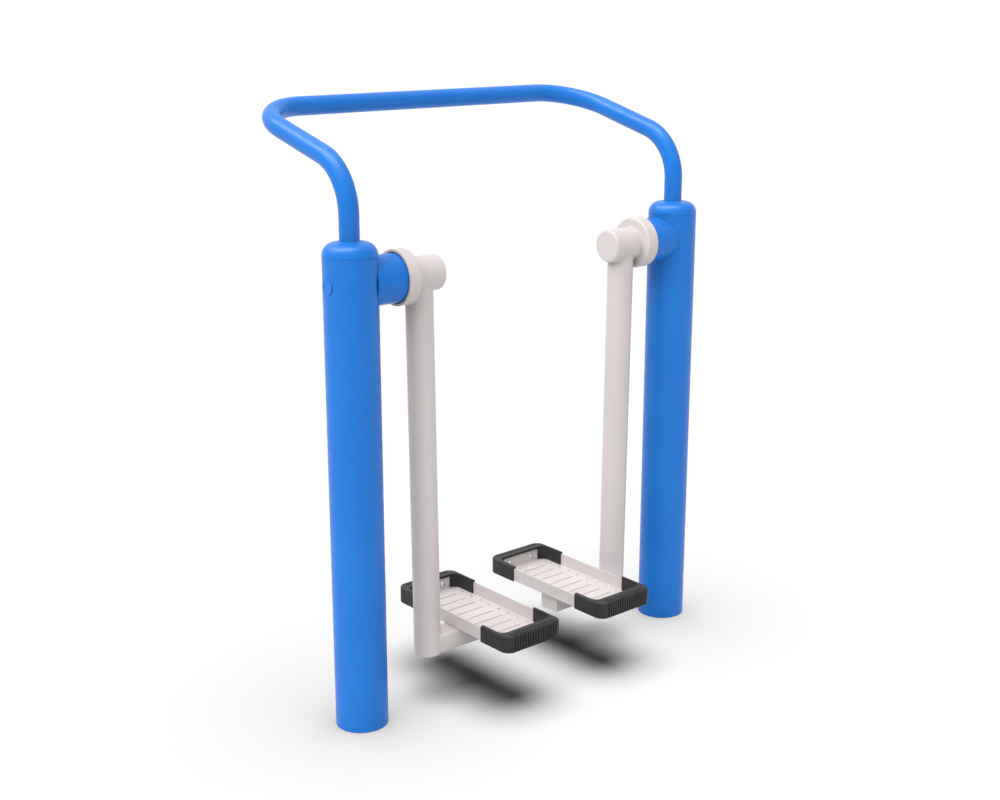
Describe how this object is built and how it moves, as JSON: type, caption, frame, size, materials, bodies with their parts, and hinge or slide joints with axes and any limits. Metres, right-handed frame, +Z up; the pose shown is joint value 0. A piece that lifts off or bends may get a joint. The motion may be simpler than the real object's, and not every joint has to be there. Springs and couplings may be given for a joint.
{
  "type": "outdoor air walker",
  "caption": "Outdoor air walker: two round posts joined by a bent handrail carry two free-swinging arms on sealed ball bearings, each with a rubber-ended foot tray.",
  "frame": {"origin": "on the ground, midway between the two post axes", "axes": "+X from the user's left post to the right post, +Y the way the user faces, towards the handrail's front bar, +Z up"},
  "size_m": [1.057, 0.5805, 1.317],
  "materials": {
    "blue_coat": "satin powder coat, bright blue",
    "blue_plastic": "moulded, bright blue",
    "grey_coat": "satin powder coat, warm light grey",
    "bumper_rubber": "matte moulded rubber, near black",
    "buffer_rubber": "matte rubber",
    "bright_steel": "bright stainless",
    "zinc_steel": "zinc plated",
    "turned_steel": "turned",
    "spring_steel": "blackened",
    "bearing_steel": "ground",
    "cage_plastic": "moulded nylon"
  },
  "bodies": {
    "frame": {"handrail": "blue_coat", "left_post": "blue_coat", "left_post_cap": "blue_coat", "left_bearing_housing": "blue_coat", "left_access_plug": "blue_plastic", "left_bearing_outer_rings": "bearing_steel", "left_outer_spacer": "turned_steel", "left_circlip": "spring_steel", "left_limit_buffers": "buffer_rubber", "right_post": "blue_coat", "right_post_cap": "blue_coat", "right_bearing_housing": "blue_coat", "right_access_plug": "blue_plastic", "right_bearing_outer_rings": "bearing_steel", "right_outer_spacer": "turned_steel", "right_circlip": "spring_steel", "right_limit_buffers": "buffer_rubber"},
    "left_walker": {"left_axle_shaft": "turned_steel", "left_bearing_inner_rings": "bearing_steel", "left_inner_spacer": "turned_steel", "left_axle_washer": "zinc_steel", "left_axle_bolt": "zinc_steel", "left_dust_collar": "grey_coat", "left_hub_sleeve": "grey_coat", "left_hub_cap": "grey_coat", "left_swing_arm": "grey_coat", "left_arm_foot_cap": "grey_coat", "left_pedal_crossbar": "grey_coat", "left_crossbar_end_plate": "grey_coat", "left_pedal_tray": "grey_coat", "left_front_bumper": "bumper_rubber", "left_rear_bumper": "bumper_rubber", "left_bumper_screws": "bright_steel", "left_bumper_inserts": "zinc_steel"},
    "left_rollers": {"left_bearing_balls": "bearing_steel", "left_bearing_cages": "cage_plastic"},
    "right_walker": {"right_axle_shaft": "turned_steel", "right_bearing_inner_rings": "bearing_steel", "right_inner_spacer": "turned_steel", "right_axle_washer": "zinc_steel", "right_axle_bolt": "zinc_steel", "right_dust_collar": "grey_coat", "right_hub_sleeve": "grey_coat", "right_hub_cap": "grey_coat", "right_swing_arm": "grey_coat", "right_arm_foot_cap": "grey_coat", "right_pedal_crossbar": "grey_coat", "right_crossbar_end_plate": "grey_coat", "right_pedal_tray": "grey_coat", "right_front_bumper": "bumper_rubber", "right_rear_bumper": "bumper_rubber", "right_bumper_screws": "bright_steel", "right_bumper_inserts": "zinc_steel"},
    "right_rollers": {"right_bearing_balls": "bearing_steel", "right_bearing_cages": "cage_plastic"}
  },
  "joints": [
    {"name": "left_swing", "type": "hinge", "parent": "frame", "child": "left_walker", "pos_m": [-0.47, 0, 0.968], "axis": [1, 0, 0], "range_deg": [-60, 60]},
    {"name": "right_swing", "type": "hinge", "parent": "frame", "child": "right_walker", "pos_m": [0.47, 0, 0.968], "axis": [1, 0, 0], "range_deg": [-60, 60]},
    {"name": "left_ball_roll", "type": "hinge", "parent": "frame", "child": "left_rollers", "pos_m": [-0.47, 0, 0.968], "axis": [1, 0, 0], "range_deg": [-24.5, 24.5]},
    {"name": "right_ball_roll", "type": "hinge", "parent": "frame", "child": "right_rollers", "pos_m": [0.47, 0, 0.968], "axis": [1, 0, 0], "range_deg": [-24.5, 24.5]}
  ],
  "couplings": [
    {"joint": "left_ball_roll", "follows": "left_swing", "ratio": 0.4},
    {"joint": "right_ball_roll", "follows": "right_swing", "ratio": 0.4}
  ]
}
